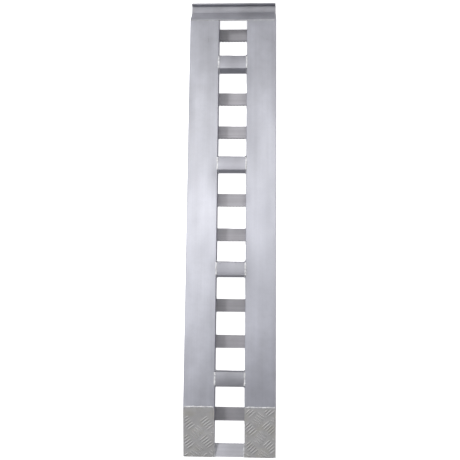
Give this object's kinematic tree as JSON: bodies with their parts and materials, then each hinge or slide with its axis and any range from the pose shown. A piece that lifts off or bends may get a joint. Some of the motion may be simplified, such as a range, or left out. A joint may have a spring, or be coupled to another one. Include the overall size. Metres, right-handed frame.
{
  "type": "loading ramp",
  "caption": "Hook-end aluminium trailer loading ramp: two hollow planks joined by a ladder of rungs and tubes, with a bevelled tread-plate foot.",
  "frame": {"origin": "centre of the ramp's length and width, on the plane of the drive side's grip ribs", "axes": "+Y along the ramp from the foot to the hook, +Z from the drive side to the underside, +X across the ramp"},
  "size_m": [0.352, 1.829, 0.0619],
  "materials": {
    "plank_extrusion": "mill finish, lengthwise extrusion grain",
    "cross_member": "mill finish, grain along the rung",
    "hook_extrusion": "mill finish, crosswise extrusion grain",
    "tread_plate": "five-bar tread plate, slightly warm grey",
    "weld_bead": "bright rippled weld bead"
  },
  "bodies": {
    "root": {"left_plank": "plank_extrusion", "left_tread_plate": "tread_plate", "right_plank": "plank_extrusion", "right_tread_plate": "tread_plate", "hook_extrusion": "hook_extrusion", "foot_rung": "cross_member", "rung_1": "cross_member", "rung_2": "cross_member", "rung_3": "cross_member", "rung_4": "cross_member", "rung_5": "cross_member", "rung_6": "cross_member", "rung_7": "cross_member", "rung_8": "cross_member", "cross_tube_1": "cross_member", "cross_tube_2": "cross_member", "cross_tube_3": "cross_member", "cross_tube_4": "cross_member", "left_hook_weld": "weld_bead", "left_tread_plate_weld": "weld_bead", "foot_rung_left_weld": "weld_bead", "cross_tube_1_left_weld": "weld_bead", "cross_tube_2_left_weld": "weld_bead", "cross_tube_3_left_weld": "weld_bead", "cross_tube_4_left_weld": "weld_bead", "right_hook_weld": "weld_bead", "right_tread_plate_weld": "weld_bead", "foot_rung_right_weld": "weld_bead", "cross_tube_1_right_weld": "weld_bead", "cross_tube_2_right_weld": "weld_bead", "cross_tube_3_right_weld": "weld_bead", "cross_tube_4_right_weld": "weld_bead"}
  },
  "joints": []
}
